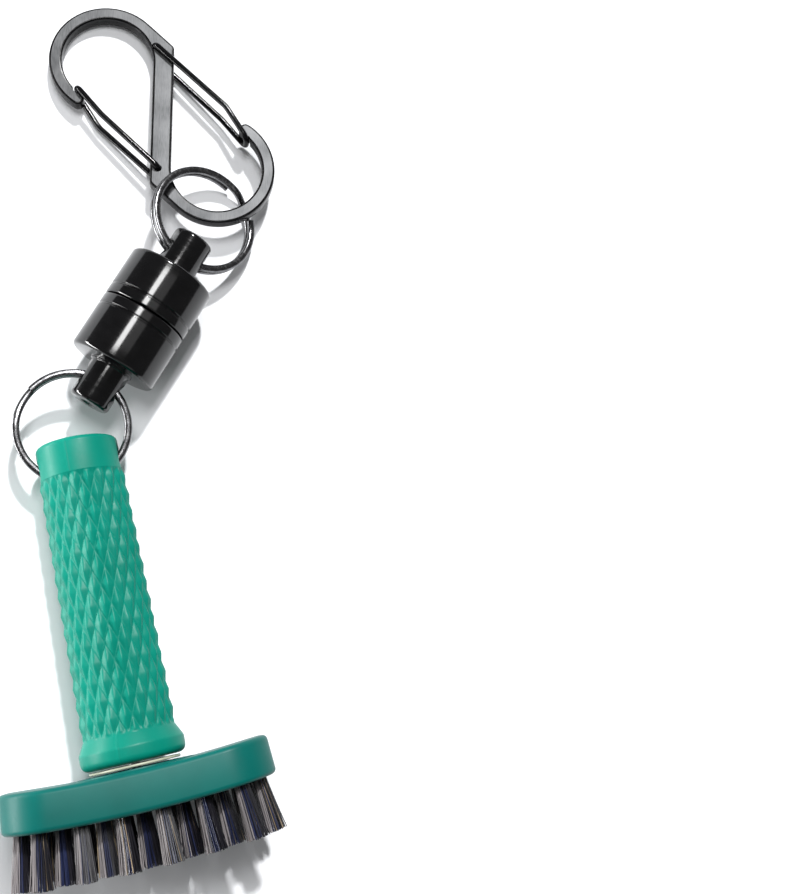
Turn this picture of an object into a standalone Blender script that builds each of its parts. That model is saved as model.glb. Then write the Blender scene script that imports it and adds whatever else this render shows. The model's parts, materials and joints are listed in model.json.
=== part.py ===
"""Club groove brush on a key chain: brush, split rings, magnetic coupler and S-shaped carabiner.

The chain lies on a table (z = 0). The brush lies on its flat long side and on the end of its handle.
Every moving piece hangs under an empty that stands on its joint's axis. Sizes are in metres.
"""

import math

import bmesh
import bpy
from mathutils import Matrix, Vector

MM = 0.001

# Head: a block with drafted sides, wider at the bristle face (z = 0 in the brush's own frame).
HEAD_LENGTH = 51.7 * MM
HEAD_WIDTH = 26.0 * MM
HEAD_HEIGHT = 7.6 * MM
HEAD_CORNER_RADIUS = 8.0 * MM
HEAD_END_BOW = 1.3 * MM
HEAD_ROCKER = 1.3 * MM
HEAD_EDGE_ROUND = 1.0 * MM
PAD_RADIUS = 11.2 * MM
PAD_HEIGHT = 0.4 * MM

# Bristles: staggered rows of tufts, each in a blind hole.
TUFTS_IN_ROWS = (6, 7, 6, 7, 6)
TUFT_PITCH = 7.4 * MM
TUFT_ROW_PITCH = 4.4 * MM
MIDDLE_ROW_PARTING = 1.0 * MM
TUFT_HOLE_RADIUS = 1.5 * MM
TUFT_ROOT_RADIUS = 1.2 * MM
TUFT_TIP_RADIUS = 2.0 * MM
TUFT_LENGTH = 10.3 * MM
TUFT_DEPTH = 3.6 * MM
TUFT_SPLAY_PER_METRE = math.radians(7.5) / 0.0222

# Neck, handle and its bore.
SPACER_RADIUS = 8.7 * MM
SPACER_HEIGHT = 0.5 * MM
TOUCH_GAP = 0.3 * MM
HANDLE_LENGTH = 63.4 * MM
FLANGE_RADIUS = 10.0 * MM
FLANGE_HEIGHT = 5.6 * MM
FLANGE_BULGE = 2.8 * MM
FLANGE_ROUND = 1.5 * MM
GRIP_RADIUS_LOW = 8.75 * MM
GRIP_RADIUS_HIGH = 8.05 * MM
COLLAR_RADIUS = 8.0 * MM
COLLAR_LENGTH = 7.0 * MM
BORE_RADIUS = 6.0 * MM
END_WALL = 2.0 * MM
PLUG_HEIGHT = 12.0 * MM
RING_HOLE_RADIUS = 2.5 * MM
RING_HOLE_BELOW_END = 5.1 * MM

# Screw that holds head, spacer and plug together.
SCREW_RADIUS = 1.2 * MM
SCREW_HOLE_RADIUS = 1.5 * MM
SCREW_HEAD_RADIUS = 2.2 * MM
SCREW_HEAD_HEIGHT = 1.4 * MM
SCREW_BITE = 9.0 * MM
WASHER_RADIUS = 2.4 * MM
WASHER_HEIGHT = 0.5 * MM
COUNTERBORE_RADIUS = 2.7 * MM
COUNTERBORE_DEPTH = 3.3 * MM

# Split rings: two turns of wire in two layers.
RING_MEAN_RADIUS = 10.9 * MM
RING_WIRE_WIDTH = 1.5 * MM
RING_WIRE_HEIGHT = 1.3 * MM
RING_LAYER_OFFSET = 0.7 * MM
RING_JOG = math.radians(36.0)
RING_END_CLEARANCE = math.radians(5.0)
RING_STEPS_PER_TURN = 40

# Magnetic coupler, along its own z from the lower stem's hole.
STEM_RADIUS = 4.2 * MM
STEM_LENGTH = 8.7 * MM
STEM_HOLE_RADIUS = 2.1 * MM
STEM_HOLE_HEIGHT = 3.9 * MM
COUPLER_RADIUS = 9.1 * MM
COUPLER_LENGTH = 23.2 * MM
UPPER_HALF_LENGTH = 11.0 * MM
GROOVE_FROM_TOP = (8.6 * MM, 13.45 * MM)
GROOVE_HALF_WIDTH = 0.3 * MM
GROOVE_DEPTH = 0.25 * MM
SOCKET_RADIUS = 7.6 * MM
SPIGOT_RADIUS = 7.2 * MM
SPIGOT_HEIGHT = 1.2 * MM
SPIGOT_BORE = 5.9 * MM
CAVITY_DEPTH = 8.4 * MM
MAGNET_HEIGHT = 4.5 * MM
DISC_HEIGHT = 1.8 * MM

# Carabiner: an S of two loops and a straight bar, alike under a half turn about its middle.
PLATE_THICKNESS = 3.0 * MM
LOOP_INNER_RADIUS = 9.5 * MM
LOOP_OUTER_RADIUS = 12.2 * MM
BAR_HALF_WIDTH = 2.15 * MM
LOOP_RISE = 11.65 * MM
LOBE_RADIUS = 1.25 * MM
SHOULDER_ANGLE = math.radians(48.0)
NOSE_ANGLE = math.radians(237.0)
HOOK_ANGLE = math.radians(228.0)
PLATE_EDGE = 0.3 * MM

# Wire gates.
GATE_WIRE_RADIUS = 0.62 * MM
GATE_SIDE_GAP = 0.15 * MM
PIVOT_HOLE_RADIUS = 0.8 * MM
OUTER_PIVOT = Vector((-1.75 * MM, 15.5 * MM, 0.0))
INNER_PIVOT = Vector((0.5 * MM, 12.3 * MM, 0.0))
GATE_SWING = math.radians(20.0)

# How the chain lies on the table, link by link.
BRUSH_PLACE = (0.426 * MM, -75.633 * MM)
BRUSH_TURN = math.radians(12.2)
LOWER_RING_SWING = math.radians(6.70)
COUPLER_AROUND_RING = math.radians(42.23)
COUPLER_SWING = math.radians(-2.04)
UPPER_HALF_TURN = math.radians(16.5)
UPPER_RING_SWING = math.radians(-17.3)
LOWER_RING_JOG = math.radians(150.0)
UPPER_RING_JOG = math.radians(60.0)
CARABINER_PLACE = (0.326 * MM, 66.202 * MM, 3.9 * MM)
CARABINER_TILT = (math.radians(-3.7), math.radians(-2.6), 0.0)

# Sizes that follow from those above.
HANDLE_BASE = HEAD_HEIGHT + PAD_HEIGHT + SPACER_HEIGHT + 2.0 * TOUCH_GAP
HANDLE_TOP = HANDLE_BASE + HANDLE_LENGTH
RING_HOLE_Z = HANDLE_TOP - RING_HOLE_BELOW_END
BRUSH_LEAN = math.atan((HEAD_WIDTH / 2.0 - COLLAR_RADIUS) / HANDLE_TOP)
RING_OFFSET_AT_HANDLE = 8.25 * MM
RING_OFFSET_AT_STEM = 10.48 * MM
LOWER_SHOULDER = STEM_HOLE_HEIGHT
UPPER_SHOULDER = LOWER_SHOULDER + COUPLER_LENGTH
UPPER_HOLE_Z = UPPER_SHOULDER + STEM_HOLE_HEIGHT
JOINT_Z = UPPER_SHOULDER - UPPER_HALF_LENGTH
LOOP_CENTRE = Vector((-BAR_HALF_WIDTH - LOOP_INNER_RADIUS, LOOP_RISE, 0.0))
GATE_LEG_Z = PLATE_THICKNESS / 2.0 + GATE_SIDE_GAP + GATE_WIRE_RADIUS

COLOURS = {
    "teal_plastic": ((0.0, 0.30, 0.22), 0.38, 0.0),
    "spacer_plastic": ((0.62, 0.66, 0.60), 0.45, 0.0),
    "bristle": ((0.012, 0.012, 0.02), 0.5, 0.0),
    "zinc_steel": ((0.55, 0.56, 0.58), 0.35, 1.0),
    "dark_steel": ((0.13, 0.13, 0.14), 0.25, 1.0),
    "black_anodised": ((0.012, 0.012, 0.013), 0.2, 0.6),
    "magnet_nickel": ((0.60, 0.60, 0.62), 0.2, 1.0),
    "gunmetal": ((0.30, 0.31, 0.33), 0.3, 1.0),
    "black_wire": ((0.02, 0.02, 0.021), 0.15, 0.8),
}


def clear_scene():
    for old in list(bpy.data.objects):
        bpy.data.objects.remove(old, do_unlink=True)


def make_materials():
    made = {}
    for name, (colour, roughness, metallic) in COLOURS.items():
        material = bpy.data.materials.new(name)
        material.use_nodes = True
        shader = material.node_tree.nodes["Principled BSDF"]
        shader.inputs["Base Color"].default_value = (*colour, 1.0)
        shader.inputs["Roughness"].default_value = roughness
        shader.inputs["Metallic"].default_value = metallic
        made[name] = material
    return made


def new_object(name, mesh, material, parent=None, smooth_angle=35.0):
    """Link a mesh as a named piece with its own copy of a material."""
    piece = bpy.data.objects.new(name, mesh)
    bpy.context.scene.collection.objects.link(piece)
    if material is not None:
        own = material.copy()
        own.name = name + "_" + material.name
        mesh.materials.append(own)
    mesh.shade_smooth()
    mesh.set_sharp_from_angle(angle=math.radians(smooth_angle))
    piece.parent = parent
    return piece


def new_empty(name, location, rotation, parent=None):
    """An empty on a joint's axis; its children move with that joint."""
    empty = bpy.data.objects.new(name, None)
    bpy.context.scene.collection.objects.link(empty)
    empty.empty_display_size = 0.005
    empty.location = location
    empty.rotation_euler = rotation
    empty.parent = parent
    return empty


def hang_in_place(child, parent):
    """Parent an object without moving it; its own location stays a place on the table."""
    bpy.context.view_layer.update()
    child.parent = parent
    child.matrix_parent_inverse = parent.matrix_world.inverted()


def mesh_from_bmesh(name, shape):
    bmesh.ops.recalc_face_normals(shape, faces=shape.faces)
    mesh = bpy.data.meshes.new(name)
    shape.to_mesh(mesh)
    shape.free()
    return mesh


def bridge(shape, ring_a, ring_b):
    count = len(ring_a)
    for i in range(count):
        j = (i + 1) % count
        shape.faces.new((ring_a[i], ring_a[j], ring_b[j], ring_b[i]))


def turned_mesh(name, profile, segments=48):
    """Turn a closed outline of (radius, height) points about Z; a radius of zero makes a pole."""
    shape = bmesh.new()
    rings = []
    for radius, height in profile:
        if radius <= 0.0:
            rings.append([shape.verts.new((0.0, 0.0, height))])
            continue
        angles = [2.0 * math.pi * i / segments for i in range(segments)]
        points = [(radius * math.cos(angle), radius * math.sin(angle), height) for angle in angles]
        rings.append([shape.verts.new(point) for point in points])
    closed = all(len(ring) > 1 for ring in rings)
    pairs = list(zip(rings, rings[1:] + rings[:1])) if closed else list(zip(rings, rings[1:]))
    for ring_a, ring_b in pairs:
        if len(ring_a) == 1 or len(ring_b) == 1:
            pole = ring_a[0] if len(ring_a) == 1 else ring_b[0]
            ring = ring_b if len(ring_a) == 1 else ring_a
            for i in range(len(ring)):
                shape.faces.new((pole, ring[i], ring[(i + 1) % len(ring)]))
        else:
            bridge(shape, ring_a, ring_b)
    return mesh_from_bmesh(name, shape)


def arc(centre, radius, start, end, steps):
    """Points on an arc, in the plane of the first two coordinates."""
    points = []
    for i in range(steps + 1):
        angle = start + (end - start) * i / steps
        points.append((centre[0] + radius * math.cos(angle), centre[1] + radius * math.sin(angle)))
    return points


def swept_mesh(name, points, frames, section):
    """Sweep a closed section along a path; frames gives each point's two cross directions."""
    shape = bmesh.new()
    rings = []
    for point, (across, up) in zip(points, frames):
        rings.append([shape.verts.new(point + across * x + up * y) for x, y in section])
    for ring_a, ring_b in zip(rings, rings[1:]):
        bridge(shape, ring_a, ring_b)
    shape.faces.new(rings[0])
    shape.faces.new(rings[-1])
    return mesh_from_bmesh(name, shape)


def subtract(piece, cutter):
    cutter.hide_render = True
    cutter.display_type = "WIRE"
    cut = piece.modifiers.new("cut_" + cutter.name, "BOOLEAN")
    cut.operation = "DIFFERENCE"
    cut.solver = "EXACT"
    cut.object = cutter


def cylinder_cutter(name, radius, length, location, direction, parent=None, segments=24):
    """A cutter along a direction, centred at a location in its parent's frame."""
    half = length / 2.0
    mesh = turned_mesh(name, [(0.0, -half), (radius, -half), (radius, half), (0.0, half)], segments)
    cutter = new_object(name, mesh, None, parent)
    turn = Vector(direction).to_track_quat("Z", "Y").to_matrix().to_4x4()
    cutter.matrix_local = Matrix.Translation(location) @ turn
    return cutter


# --- brush ---------------------------------------------------------------------------------------


def head_sag(x):
    """The head is a slight rocker: its ends stand above its middle."""
    return HEAD_ROCKER * (2.0 * x / HEAD_LENGTH) ** 2


def head_outline(height, inset):
    """The head's outline at a height above the bristle face, drawn in by an inset.

    The long sides stay in one drafted plane, so the brush can lie flush on either of them.
    """
    draft = math.tan(BRUSH_LEAN)
    half_length = HEAD_LENGTH / 2.0 - HEAD_END_BOW - height * draft - inset
    half_width = HEAD_WIDTH / 2.0 - height * draft - inset
    radius = HEAD_CORNER_RADIUS - inset
    side = half_length - radius
    quarter = math.pi / 2.0
    plan = []
    for turn, (sx, sy) in enumerate(((1, 1), (-1, 1), (-1, -1), (1, -1))):
        centre = (sx * side, sy * (half_width - radius))
        plan += arc(centre, radius, turn * quarter, (turn + 1) * quarter, 7)
        if turn % 2 == 0:
            plan += [(sx * side * (1.0 - step / 4.0), sy * half_width) for step in range(1, 8)]
    points = []
    for x, y in plan:
        reach = max(0.0, abs(x) - side) / radius
        x += math.copysign(HEAD_END_BOW * reach * (1.0 - (y / half_width) ** 2), x)
        lift = head_sag(x)
        points.append((x, y * (1.0 - lift * draft / half_width), height + lift))
    return points


def edge_levels(height, edge, steps):
    """Heights and insets up a wall whose lower and upper edges are rounded."""
    levels = []
    for i in range(steps + 1):
        angle = math.pi / 2.0 * i / steps
        levels.append((edge * (1.0 - math.cos(angle)), edge * (1.0 - math.sin(angle))))
    upper = [(height - low, inset) for low, inset in reversed(levels)]
    return levels + upper


def head_mesh():
    shape = bmesh.new()
    rings = []
    for height, inset in edge_levels(HEAD_HEIGHT, HEAD_EDGE_ROUND, 3):
        rings.append([shape.verts.new(point) for point in head_outline(height, inset)])
    for ring_a, ring_b in zip(rings, rings[1:]):
        bridge(shape, ring_a, ring_b)
    for ring in (rings[0], rings[-1]):
        for i in range(len(ring) // 2 - 1):
            shape.faces.new((ring[i], ring[i + 1], ring[-(i + 2)], ring[-(i + 1)]))
    return mesh_from_bmesh("head_block", shape)


def tuft_places():
    """Each tuft's root on the bristle face and the direction its bristles point."""
    places = []
    middle = (len(TUFTS_IN_ROWS) - 1) / 2.0
    for row, count in enumerate(TUFTS_IN_ROWS):
        y = (row - middle) * TUFT_ROW_PITCH
        for column in range(count):
            x = (column - (count - 1) / 2.0) * TUFT_PITCH
            if row == middle:
                x += math.copysign(MIDDLE_ROW_PARTING, x)
            root = Vector((x, y, head_sag(x)))
            lean_x = x * TUFT_SPLAY_PER_METRE
            lean_y = y * TUFT_SPLAY_PER_METRE
            places.append((root, Vector((math.tan(lean_x), math.tan(lean_y), -1.0)).normalized()))
    return places


def place_along(piece, location, direction):
    turn = Vector(direction).to_track_quat("Z", "Y").to_matrix().to_4x4()
    piece.matrix_local = Matrix.Translation(location) @ turn


def tuft_hole_cutter(parent):
    """One mesh holding every blind hole, so the head is cut once."""
    shape = bmesh.new()
    for root, direction in tuft_places():
        turn = direction.to_track_quat("Z", "Y").to_matrix().to_4x4()
        middle = Matrix.Translation(root - direction * (TUFT_DEPTH / 2.0 - 1.0 * MM)) @ turn
        bmesh.ops.create_cone(
            shape,
            cap_ends=True,
            segments=8,
            radius1=TUFT_HOLE_RADIUS,
            radius2=TUFT_HOLE_RADIUS,
            depth=TUFT_DEPTH + 2.0 * MM,
            matrix=middle,
        )
    return new_object("tuft_holes", mesh_from_bmesh("tuft_holes", shape), None, parent)


def make_tufts(material, parent):
    """A tuft fills its hole at the root and spreads towards its tip; its height runs down its local Z."""
    root_z = -(TUFT_DEPTH - TOUCH_GAP)
    profile = [
        (0.0, root_z),
        (TUFT_ROOT_RADIUS, root_z),
        (TUFT_ROOT_RADIUS, 0.4 * MM),
        (TUFT_TIP_RADIUS, TUFT_LENGTH - 0.5 * MM),
        (TUFT_TIP_RADIUS - 0.5 * MM, TUFT_LENGTH),
        (0.0, TUFT_LENGTH),
    ]
    mesh = turned_mesh("bristle_tuft", profile, 8)
    own = material.copy()
    own.name = "bristles"
    mesh.materials.append(own)
    for index, (root, direction) in enumerate(tuft_places(), start=1):
        tuft = new_object(f"bristle_tuft_{index:02d}", mesh, None, parent)
        place_along(tuft, root, direction)


def make_head(materials, parent):
    head = new_object("head_block", head_mesh(), materials["teal_plastic"], parent)
    pad_profile = [(0.0, -2.0 * MM), (PAD_RADIUS, -2.0 * MM), (PAD_RADIUS, PAD_HEIGHT), (0.0, PAD_HEIGHT)]
    pad = new_object("pad_shape", turned_mesh("pad_shape", pad_profile, 48), None, parent)
    pad.location = (0.0, 0.0, HEAD_HEIGHT)
    pad.hide_render = True
    pad.display_type = "WIRE"
    join = head.modifiers.new("raised_pad", "BOOLEAN")
    join.operation = "UNION"
    join.solver = "EXACT"
    join.object = pad
    subtract(head, tuft_hole_cutter(parent))
    up = (0, 0, 1)
    bore = cylinder_cutter("screw_hole", SCREW_HOLE_RADIUS, 30.0 * MM, (0.0, 0.0, 5.0 * MM), up, parent)
    subtract(head, bore)
    counterbore_at = (0.0, 0.0, COUNTERBORE_DEPTH - 5.0 * MM)
    subtract(head, cylinder_cutter("counterbore", COUNTERBORE_RADIUS, 10.0 * MM, counterbore_at, up, parent))


def make_handle(materials, parent):
    base = HANDLE_BASE
    top = HANDLE_TOP
    end_round = 1.0 * MM
    outside = [(0.0, top)]
    outside += arc((COLLAR_RADIUS - end_round, top - end_round), end_round, math.pi / 2.0, 0.0, 3)
    outside += [
        (COLLAR_RADIUS + 0.05 * MM, top - COLLAR_LENGTH),
        (GRIP_RADIUS_HIGH, top - COLLAR_LENGTH - 0.3 * MM),
        (GRIP_RADIUS_LOW, base + FLANGE_HEIGHT),
        (FLANGE_RADIUS - 0.25 * MM, base + FLANGE_BULGE + 1.0 * MM),
        (FLANGE_RADIUS, base + FLANGE_BULGE),
    ]
    flange_centre = (FLANGE_RADIUS - FLANGE_ROUND, base + FLANGE_ROUND)
    outside += arc(flange_centre, FLANGE_ROUND, 0.0, -math.pi / 2.0, 4)
    inside = [(BORE_RADIUS, base), (BORE_RADIUS, top - END_WALL), (0.0, top - END_WALL)]
    mesh = turned_mesh("handle_grip", outside + inside, 40)
    handle = new_object("handle_grip", mesh, materials["teal_plastic"], parent)
    hole_at = (0.0, 0.0, RING_HOLE_Z)
    subtract(handle, cylinder_cutter("ring_hole", RING_HOLE_RADIUS, 24.0 * MM, hole_at, (1, 0, 0), parent))


def make_neck_and_screw(materials, parent):
    spacer_z = HEAD_HEIGHT + PAD_HEIGHT + TOUCH_GAP
    spacer = [
        (SCREW_HOLE_RADIUS, spacer_z),
        (SPACER_RADIUS, spacer_z),
        (SPACER_RADIUS, spacer_z + SPACER_HEIGHT),
        (SCREW_HOLE_RADIUS, spacer_z + SPACER_HEIGHT),
    ]
    new_object("neck_spacer", turned_mesh("neck_spacer", spacer, 32), materials["spacer_plastic"], parent)

    plug_radius = BORE_RADIUS - TOUCH_GAP
    plug_top = HANDLE_BASE + PLUG_HEIGHT
    pilot_top = HANDLE_BASE + SCREW_BITE + 1.0 * MM
    plug = [
        (0.0, plug_top),
        (plug_radius, plug_top),
        (plug_radius, HANDLE_BASE),
        (SCREW_HOLE_RADIUS, HANDLE_BASE),
        (SCREW_HOLE_RADIUS, pilot_top),
        (0.0, pilot_top),
    ]
    new_object("handle_plug", turned_mesh("handle_plug", plug, 24), materials["teal_plastic"], parent)

    washer_top = COUNTERBORE_DEPTH - TOUCH_GAP
    washer = [
        (SCREW_HOLE_RADIUS, washer_top - WASHER_HEIGHT),
        (WASHER_RADIUS, washer_top - WASHER_HEIGHT),
        (WASHER_RADIUS, washer_top),
        (SCREW_HOLE_RADIUS, washer_top),
    ]
    new_object("screw_washer", turned_mesh("screw_washer", washer, 24), materials["zinc_steel"], parent)

    head_top = washer_top - WASHER_HEIGHT - TOUCH_GAP
    head_base = head_top - SCREW_HEAD_HEIGHT
    screw = [
        (0.0, HANDLE_BASE + SCREW_BITE),
        (SCREW_RADIUS - 0.6 * MM, HANDLE_BASE + SCREW_BITE),
        (SCREW_RADIUS, HANDLE_BASE + SCREW_BITE - 1.0 * MM),
        (SCREW_RADIUS, head_top),
        (SCREW_HEAD_RADIUS, head_top),
        (SCREW_HEAD_RADIUS, head_base + 0.5 * MM),
        (SCREW_HEAD_RADIUS - 0.5 * MM, head_base),
        (0.0, head_base),
    ]
    new_object("head_screw", turned_mesh("head_screw", screw, 20), materials["zinc_steel"], parent)


# --- split rings ---------------------------------------------------------------------------------


def make_split_ring(name, material, parent, offset, jog_at):
    """Two turns of wire in the parent's XZ plane; the wire steps between its layers at jog_at."""
    start = RING_JOG / 2.0 + RING_END_CLEARANCE
    end = 4.0 * math.pi - start
    steps = round(2 * RING_STEPS_PER_TURN * (end - start) / (4.0 * math.pi))
    points = []
    frames = []
    for i in range(steps + 1):
        turned = start + (end - start) * i / steps
        across_jog = (turned - 2.0 * math.pi) / RING_JOG + 0.5
        share = min(1.0, max(0.0, across_jog))
        layer = RING_LAYER_OFFSET * math.cos(math.pi * share)
        angle = turned + jog_at
        outward = Vector((math.cos(angle), 0.0, math.sin(angle)))
        points.append(outward * RING_MEAN_RADIUS + Vector((0.0, layer, offset)))
        frames.append((outward, Vector((0.0, 1.0, 0.0))))
    half_w = RING_WIRE_WIDTH / 2.0
    half_h = RING_WIRE_HEIGHT / 2.0
    section = []
    for i in range(8):
        angle = math.pi / 4.0 * (i + 0.5)
        flat = 1.0 / math.cos(math.pi / 8.0)
        section.append((half_w * flat * math.cos(angle), half_h * flat * math.sin(angle)))
    new_object(name, swept_mesh(name, points, frames, section), material, parent, 50.0)


# --- magnetic coupler ----------------------------------------------------------------------------


def stem_profile(shoulder, direction):
    """Outline of a stem from its tip to the shoulder that it stands on; direction is +1 for upwards."""
    tip = shoulder + direction * STEM_LENGTH
    return [
        (0.0, tip - direction * 0.4 * MM),
        (1.2 * MM, tip - direction * 0.35 * MM),
        (1.7 * MM, tip),
        (STEM_RADIUS - 0.8 * MM, tip),
        (STEM_RADIUS, tip - direction * 0.8 * MM),
        (STEM_RADIUS, shoulder + direction * 0.5 * MM),
        (STEM_RADIUS + 0.35 * MM, shoulder + direction * 0.35 * MM),
        (STEM_RADIUS + 0.35 * MM, shoulder),
        (COUPLER_RADIUS - 0.4 * MM, shoulder),
        (COUPLER_RADIUS, shoulder - direction * 0.4 * MM),
    ]


def groove_profile(height, direction):
    deep = COUPLER_RADIUS - GROOVE_DEPTH
    return [
        (COUPLER_RADIUS, height + direction * GROOVE_HALF_WIDTH),
        (deep, height + direction * GROOVE_HALF_WIDTH / 2.0),
        (deep, height - direction * GROOVE_HALF_WIDTH / 2.0),
        (COUPLER_RADIUS, height - direction * GROOVE_HALF_WIDTH),
    ]


def make_coupler_half(name, profile, hole_z, materials, parent):
    shell = new_object(name, turned_mesh(name, profile, 36), materials["black_anodised"], parent)
    hole = cylinder_cutter(name + "_hole", STEM_HOLE_RADIUS, 14.0 * MM, (0.0, 0.0, hole_z), (1, 0, 0), parent)
    subtract(shell, hole)


def disc_profile(radius, low, high, edge=0.3 * MM):
    lower = [(0.0, low), (radius - edge, low), (radius, low + edge)]
    upper = [(radius, high - edge), (radius - edge, high), (0.0, high)]
    return lower + upper


def make_coupler_lower(materials, parent):
    face = JOINT_Z - TOUCH_GAP / 2.0
    floor = face - CAVITY_DEPTH
    profile = stem_profile(LOWER_SHOULDER, -1.0)
    profile += groove_profile(UPPER_SHOULDER - GROOVE_FROM_TOP[1], -1.0)
    profile += [
        (COUPLER_RADIUS, face - 0.2 * MM),
        (COUPLER_RADIUS - 0.2 * MM, face),
        (SOCKET_RADIUS, face),
        (SOCKET_RADIUS, floor),
        (0.0, floor),
    ]
    make_coupler_half("coupler_lower_shell", profile, 0.0, materials, parent)
    disc_low = floor + TOUCH_GAP
    magnet_low = disc_low + DISC_HEIGHT + TOUCH_GAP
    radius = SOCKET_RADIUS - TOUCH_GAP
    disc = disc_profile(radius, disc_low, disc_low + DISC_HEIGHT)
    magnet = disc_profile(radius, magnet_low, magnet_low + MAGNET_HEIGHT)
    disc_mesh = turned_mesh("lower_backing_disc", disc, 24)
    new_object("lower_backing_disc", disc_mesh, materials["zinc_steel"], parent)
    new_object("lower_magnet", turned_mesh("lower_magnet", magnet, 24), materials["magnet_nickel"], parent)


def make_coupler_upper(materials, parent):
    """The parent stands at the upper stem's hole; heights here are taken from the lower one's."""
    down = -UPPER_HOLE_Z
    face = JOINT_Z + TOUCH_GAP / 2.0
    nose = face - SPIGOT_HEIGHT
    ceiling = nose + CAVITY_DEPTH
    profile = stem_profile(UPPER_SHOULDER, 1.0)
    profile += groove_profile(UPPER_SHOULDER - GROOVE_FROM_TOP[0], 1.0)
    profile += [
        (COUPLER_RADIUS, face + 0.2 * MM),
        (COUPLER_RADIUS - 0.2 * MM, face),
        (SPIGOT_RADIUS, face),
        (SPIGOT_RADIUS, nose + 0.3 * MM),
        (SPIGOT_RADIUS - 0.3 * MM, nose),
        (SPIGOT_BORE, nose),
        (SPIGOT_BORE, ceiling),
        (0.0, ceiling),
    ]
    profile = [(radius, height + down) for radius, height in profile]
    make_coupler_half("coupler_upper_shell", profile, 0.0, materials, parent)
    disc_high = ceiling - TOUCH_GAP + down
    magnet_high = disc_high - DISC_HEIGHT - TOUCH_GAP
    radius = SPIGOT_BORE - TOUCH_GAP
    disc = disc_profile(radius, disc_high - DISC_HEIGHT, disc_high)
    magnet = disc_profile(radius, magnet_high - MAGNET_HEIGHT, magnet_high)
    disc_mesh = turned_mesh("upper_backing_disc", disc, 24)
    new_object("upper_backing_disc", disc_mesh, materials["zinc_steel"], parent)
    new_object("upper_magnet", turned_mesh("upper_magnet", magnet, 24), materials["magnet_nickel"], parent)


# --- carabiner -----------------------------------------------------------------------------------


def half_turn(points):
    return [(-x, -y) for x, y in points]


def carabiner_outline():
    """Closed outline of the S, drawn from loop one's nose to loop two's; the rest is its half turn."""
    loop = (LOOP_CENTRE.x, LOOP_CENTRE.y)
    other = (-LOOP_CENTRE.x, -LOOP_CENTRE.y)
    nose_radius = (LOOP_OUTER_RADIUS - LOOP_INNER_RADIUS) / 2.0
    nose_middle = LOOP_INNER_RADIUS + nose_radius
    nose = (loop[0] + nose_middle * math.cos(NOSE_ANGLE), loop[1] + nose_middle * math.sin(NOSE_ANGLE))
    half = arc(nose, nose_radius, NOSE_ANGLE + math.pi, NOSE_ANGLE, 6)[1:-1]
    half += arc(loop, LOOP_OUTER_RADIUS, NOSE_ANGLE, SHOULDER_ANGLE, 28)
    slope = Vector((math.cos(SHOULDER_ANGLE), math.sin(SHOULDER_ANGLE)))
    lobe_x = BAR_HALF_WIDTH - LOBE_RADIUS
    shoulder = Vector(loop) + slope * (LOOP_OUTER_RADIUS - LOBE_RADIUS)
    along = Vector((slope.y, -slope.x))
    run = (lobe_x - shoulder.x) / along.x
    lobe = (lobe_x, shoulder.y + along.y * run)
    half += arc(lobe, LOBE_RADIUS, SHOULDER_ANGLE, 0.0, 4)
    half += arc(other, LOOP_INNER_RADIUS, math.pi, NOSE_ANGLE + math.pi, 24)
    return half + half_turn(half)


def inset_outline(outline, distance):
    """Move each point of a closed outline inwards, square to its two neighbours."""
    moved = []
    count = len(outline)
    area = sum(
        outline[i][0] * outline[(i + 1) % count][1] - outline[(i + 1) % count][0] * outline[i][1]
        for i in range(count)
    )
    side = math.copysign(1.0, area)
    for i in range(count):
        before = Vector(outline[i - 1])
        after = Vector(outline[(i + 1) % count])
        along = (after - before).normalized()
        moved.append((outline[i][0] - side * along.y * distance, outline[i][1] + side * along.x * distance))
    return moved


def carabiner_mesh():
    outline = carabiner_outline()
    narrow = inset_outline(outline, PLATE_EDGE)
    half = PLATE_THICKNESS / 2.0
    shape = bmesh.new()
    rings = []
    wall = ((narrow, -half), (outline, PLATE_EDGE - half), (outline, half - PLATE_EDGE), (narrow, half))
    for points, height in wall:
        rings.append([shape.verts.new((x, y, height)) for x, y in points])
    for ring_a, ring_b in zip(rings, rings[1:]):
        bridge(shape, ring_a, ring_b)
    shape.faces.new(rings[0])
    shape.faces.new(rings[-1])
    return mesh_from_bmesh("carabiner_frame", shape)


def rounded_path(corners, radii, steps=3):
    """A path through corner points, with each inner corner replaced by an arc of its radius."""
    path = [corners[0]]
    for before, corner, after, radius in zip(corners, corners[1:], corners[2:], radii):
        back = (before - corner).normalized()
        on = (after - corner).normalized()
        half_angle = back.angle(on) / 2.0
        setback = radius / math.tan(half_angle)
        centre = corner + (back + on).normalized() * (radius / math.sin(half_angle))
        first = corner + back * setback - centre
        last = corner + on * setback - centre
        sweep = first.angle(last)
        for i in range(steps + 1):
            share = i / steps
            blend = first * math.sin((1.0 - share) * sweep) + last * math.sin(share * sweep)
            path.append(centre + blend / math.sin(sweep))
    path.append(corners[-1])
    return path


def transported_frames(path):
    """Cross directions along a path, turned no more than the path turns."""
    frames = []
    across = None
    for i, point in enumerate(path):
        ahead = path[min(i + 1, len(path) - 1)] - path[max(i - 1, 0)]
        ahead.normalize()
        if across is None:
            across = ahead.orthogonal().normalized()
        across = (across - ahead * across.dot(ahead)).normalized()
        frames.append((across, ahead.cross(across)))
    return frames


def hook_place():
    """Where the gate's bend rests in the nose of loop two."""
    angle = HOOK_ANGLE + math.pi
    radius = LOOP_INNER_RADIUS - 0.35 * MM
    return Vector((-LOOP_CENTRE.x + radius * math.cos(angle), -LOOP_CENTRE.y + radius * math.sin(angle), 0.0))


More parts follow.
